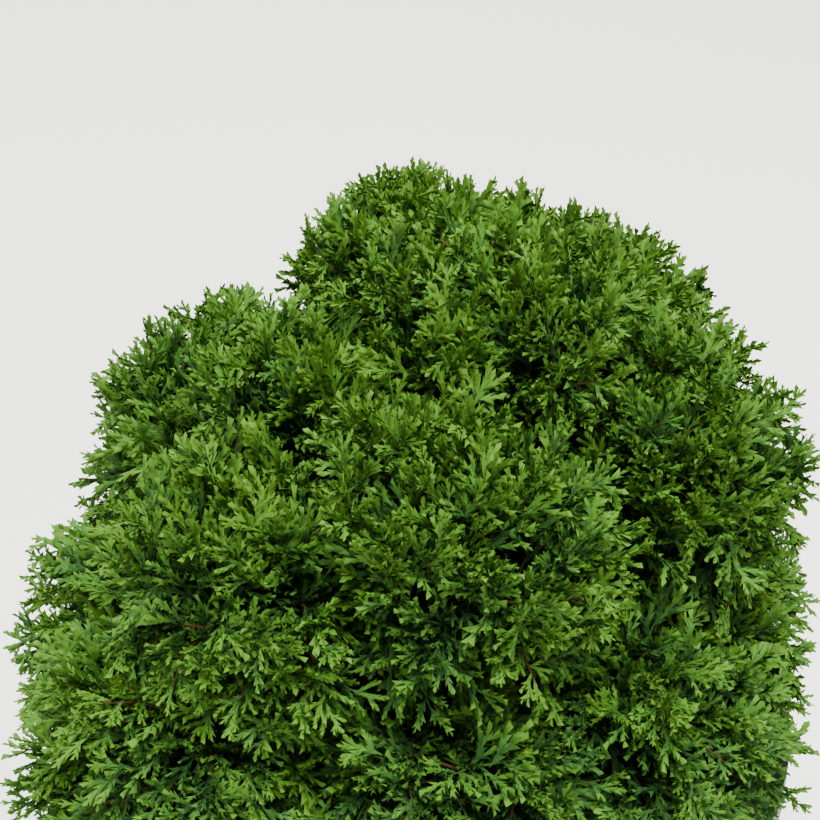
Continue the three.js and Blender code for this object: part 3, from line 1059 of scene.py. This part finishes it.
class CYPRESS_OT_limbs(bpy.types.Operator):
    """Model the trunk and the boughs with the relief of their bark"""

    bl_idname = "cypress.limbs"
    bl_label = "Trunk and boughs"

    def execute(self, context):
        finish = stringy_bark(context.scene.cypress_plant)
        trunk = trunk_points()
        self.make_trunk(trunk, finish)
        for mass in all_masses()[1:]:
            points = bough_points(mass)
            radii = (BOUGH_ROOT, BOUGH_TIP)
            limb = limb_mesh("bark_bough_" + mass.name, points, radii, BOUGH_SIDES, BOUGH_RINGS)
            ridge_bark(limb, middle_line(points, BOUGH_RINGS), BOUGH_RELIEF)
            self.finish_limb(limb, finish, "bough_" + mass.name)
        return {"FINISHED"}

    def make_trunk(self, points, finish):
        limb = limb_mesh("bark_trunk", points, (1, 1), TRUNK_SIDES, TRUNK_RINGS)
        line = middle_line(points, TRUNK_RINGS)
        rise = points[-1][2] - points[0][2]
        for vertex in limb.data.vertices:
            place = np.array(vertex.co) / MM
            nearest = int(np.argmin(np.linalg.norm(line - place, axis=1)))
            share = nearest / TRUNK_RINGS
            away = place - line[nearest]
            angle = math.atan2(away[0], -away[1])
            taper = mixed(TRUNK_FOOT, TRUNK_TIP, share**TRUNK_TAPER)
            roots = 1 + ROOT_SWELL * math.cos(FLARE_ROOTS * angle)
            radius = taper + FLARE * roots * math.exp(-share * rise / FLARE_HEIGHT)
            vertex.co = Vector(line[nearest] + away * radius) * MM
        limb.data.update()
        ridge_bark(limb, line, TRUNK_RELIEF)
        self.finish_limb(limb, finish, "trunk")

    def finish_limb(self, limb, finish, node):
        limb.data.materials.clear()
        limb.data.materials.append(finish)
        limb.data.shade_smooth()
        keep(limb, "bark", node)


class CYPRESS_OT_foliage(bpy.types.Operator):
    """Grow the twigs and the sprays of scale leaves"""

    bl_idname = "cypress.foliage"
    bl_label = "Foliage"

    def execute(self, context):
        colours = context.scene.cypress_plant
        leaves = leaf_tones(colours)
        numbers = range(SPRAY_VARIANTS)
        variants = [spray_variant(number, plain) for plain in (False, True) for number in numbers]
        main_lines, fine_lines = [], []
        for mass in all_masses():
            sprays, mains, fines = grow_mass(mass)
            piece = spray_mesh("leaves_" + mass.name, sprays, variants, leaves)
            keep(piece, "foliage", "foliage_" + mass.name)
            main_lines.append((mass.stem_start, mixed(mass.stem_start, mass.hub, 0.5), mass.hub))
            for direction, fork in mains:
                main_lines.append((mass.hub, mixed(mass.hub, fork, 0.5), fork))
            fine_lines += fines
        tones = twig_tones(colours)
        browns = [0] * len(main_lines)
        mains = tube_mesh("twigs_main", main_lines, MAIN_TWIG_RADII, MAIN_TWIG_SIDES, tones, browns)
        keep(mains, "bark")
        slots = [0 if k % BROWN_EVERY == 0 else 1 for k in range(len(fine_lines))]
        fines = tube_mesh("twigs_fine", fine_lines, FINE_TWIG_RADII, FINE_TWIG_SIDES, tones, slots)
        keep(fines, "bark")
        return {"FINISHED"}


class CYPRESS_OT_pot(bpy.types.Operator):
    """Model the nursery pot with its rim band and its drainage holes"""

    bl_idname = "cypress.pot"
    bl_label = "Pot"

    def execute(self, context):
        colours = context.scene.cypress_pot
        under_band = POT_HEIGHT - BAND_HEIGHT
        lip = inner_radius(POT_HEIGHT)
        pot = start_disc("nursery_pot", FOOT_RADIUS - FOOT_STEP, 0, colours.pot_sides)
        turn_up(
            (
                (outer_radius(FOOT_HEIGHT) - FOOT_STEP, FOOT_HEIGHT),
                (outer_radius(FOOT_HEIGHT), FOOT_HEIGHT + FOOT_STEP),
                *[ring for height in BEAD_HEIGHTS for ring in bead(height)],
                (outer_radius(under_band), under_band),
                (RIM_RADIUS, under_band),
                (RIM_RADIUS, POT_HEIGHT),
                (lip, POT_HEIGHT),
                (inner_radius(POT_FLOOR), POT_FLOOR),
            ),
            FOOT_RADIUS - FOOT_STEP,
            0,
        )
        bpy.ops.object.mode_set(mode="OBJECT")
        apply_modifier(
            pot, "BEVEL", width=EDGE_ROUNDING, segments=3, limit_method="ANGLE", angle_limit=ROUNDED_FROM
        )
        self.drill(pot)
        pot.data.materials.append(moulded_plastic(colours))
        bpy.ops.object.shade_smooth_by_angle(angle=SHARP_FROM)
        settle(pot)
        keep(pot, "pot_plastic", "pot")
        return {"FINISHED"}

    def drill(self, pot):
        for k in range(DRAIN_COUNT):
            angle = (k + 0.5) * 2 * math.pi / DRAIN_COUNT
            place = (DRAIN_CIRCLE * math.cos(angle), DRAIN_CIRCLE * math.sin(angle), 0)
            deselect()
            bpy.ops.mesh.primitive_cylinder_add(
                vertices=DRAIN_SIDES, radius=DRAIN_RADIUS, depth=4 * POT_FLOOR, location=place
            )
            drill = bpy.context.object
            apply_modifier(pot, "BOOLEAN", object=drill, operation="DIFFERENCE", solver="EXACT")
            bpy.data.objects.remove(drill)


class CYPRESS_OT_potting_mix(bpy.types.Operator):
    """Fill the pot with crumbly potting mix"""

    bl_idname = "cypress.potting_mix"
    bl_label = "Potting mix"

    def execute(self, context):
        colours = context.scene.cypress_pot
        low = MIX_LOW.z
        gap = GAP * MM
        edge = inner_radius(MIX_EDGE) - gap
        mix = start_disc("crumbled_mix", inner_radius(low) - gap, low, MIX_SIDES)
        turn_up(((edge, MIX_EDGE),), inner_radius(low) - gap, low)
        profile = []
        for k in range(1, MIX_RINGS):
            share = k / MIX_RINGS
            climb = min(1, share / (1 - MIX_FLAT / edge))
            profile.append((edge * (1 - share), mixed(MIX_EDGE, MIX_HIGH.z, climb)))
        turn_up(profile, edge, MIX_EDGE)
        bpy.ops.object.mode_set(mode="OBJECT")
        for vertex in mix.data.vertices:
            if vertex.co.z > MIX_EDGE - CRUMB_HEIGHT / 2:
                coarse, fine = [noise.noise(vertex.co / size) for size in CRUMB_SIZES]
                vertex.co.z += CRUMB_HEIGHT * (coarse + FINE_CRUMBS * fine - CRUMB_SINK)
        mix.data.materials.append(crumbled_mix(colours))
        settle(mix)
        keep(mix, "potting_mix", "potting_mix")
        return {"FINISHED"}


class CYPRESS_OT_stage(bpy.types.Operator):
    """Set the pale floor, the soft light and the camera"""

    bl_idname = "cypress.stage"
    bl_label = "Stage"

    def execute(self, context):
        stage = context.scene.cypress_stage
        self.make_floor(stage)
        self.make_light(context)
        self.make_camera(context, stage)
        return {"FINISHED"}

    def make_floor(self, stage):
        deselect()
        bpy.ops.mesh.primitive_plane_add(size=stage.floor_size, location=(0, 0, 0))
        floor = bpy.context.object
        floor.name = "floor"
        floor.data.materials.append(pale_floor(stage))

    def make_light(self, context):
        world = bpy.data.worlds.new("soft_room")
        world.use_nodes = True
        background = world.node_tree.nodes["Background"]
        background.inputs["Color"].default_value = ROOM_COLOUR
        background.inputs["Strength"].default_value = ROOM_LIGHT
        context.scene.world = world
        for softbox in SOFTBOXES:
            self.add_softbox(*softbox)

    def add_softbox(self, name, place, size, power):
        deselect()
        bpy.ops.object.light_add(type="AREA", location=place)
        light = bpy.context.object
        light.name = name
        light.data.shape = "SQUARE"
        light.data.size = size
        light.data.energy = power
        aim = Vector(LIGHT_AIM) - Vector(place)
        light.rotation_euler = aim.to_track_quat("-Z", "Y").to_euler()

    def make_camera(self, context, stage):
        angle = stage.camera_elevation
        back = Vector((0, -math.cos(angle), math.sin(angle)))
        up = Vector((0, math.sin(angle), math.cos(angle)))
        middle = Vector(CROWN_MIDDLE)
        place = middle + back * stage.camera_distance
        aim = middle + up * stage.camera_raise - place
        deselect()
        bpy.ops.object.camera_add(location=place, rotation=aim.to_track_quat("-Z", "Y").to_euler())
        camera = context.object
        camera.name = "camera"
        camera.data.sensor_width = SENSOR_WIDTH
        camera.data.lens = stage.camera_lens
        camera.data.clip_start = NEAREST_SEEN
        context.scene.camera = camera


OPERATORS = (
    CYPRESS_OT_stage,
    CYPRESS_OT_pot,
    CYPRESS_OT_potting_mix,
    CYPRESS_OT_limbs,
    CYPRESS_OT_foliage,
)


class CYPRESS_PT_make(bpy.types.Panel):
    """The plant's pieces and the settings that they are made from"""

    bl_label = "Potted cypress"
    bl_idname = "CYPRESS_PT_make"
    bl_space_type = "VIEW_3D"
    bl_region_type = "UI"
    bl_category = "Cypress"

    def draw(self, context):
        for operator in OPERATORS:
            self.layout.operator(operator.bl_idname)
        for group in (context.scene.cypress_plant, context.scene.cypress_pot, context.scene.cypress_stage):
            box = self.layout.box()
            for key in group.__annotations__:
                box.prop(group, key)


CLASSES = (PlantColours, PotColours, StageSettings, *OPERATORS, CYPRESS_PT_make)


def register():
    for cls in CLASSES:
        bpy.utils.register_class(cls)
    bpy.types.Scene.cypress_plant = bpy.props.PointerProperty(type=PlantColours)
    bpy.types.Scene.cypress_pot = bpy.props.PointerProperty(type=PotColours)
    bpy.types.Scene.cypress_stage = bpy.props.PointerProperty(type=StageSettings)


def unregister():
    del bpy.types.Scene.cypress_plant
    del bpy.types.Scene.cypress_pot
    del bpy.types.Scene.cypress_stage
    for cls in reversed(CLASSES):
        bpy.utils.unregister_class(cls)


def main():
    register()
    bpy.ops.cypress.stage()
    bpy.ops.cypress.pot()
    bpy.ops.cypress.potting_mix()
    bpy.ops.cypress.limbs()
    bpy.ops.cypress.foliage()


if __name__ == "__main__":
    main()
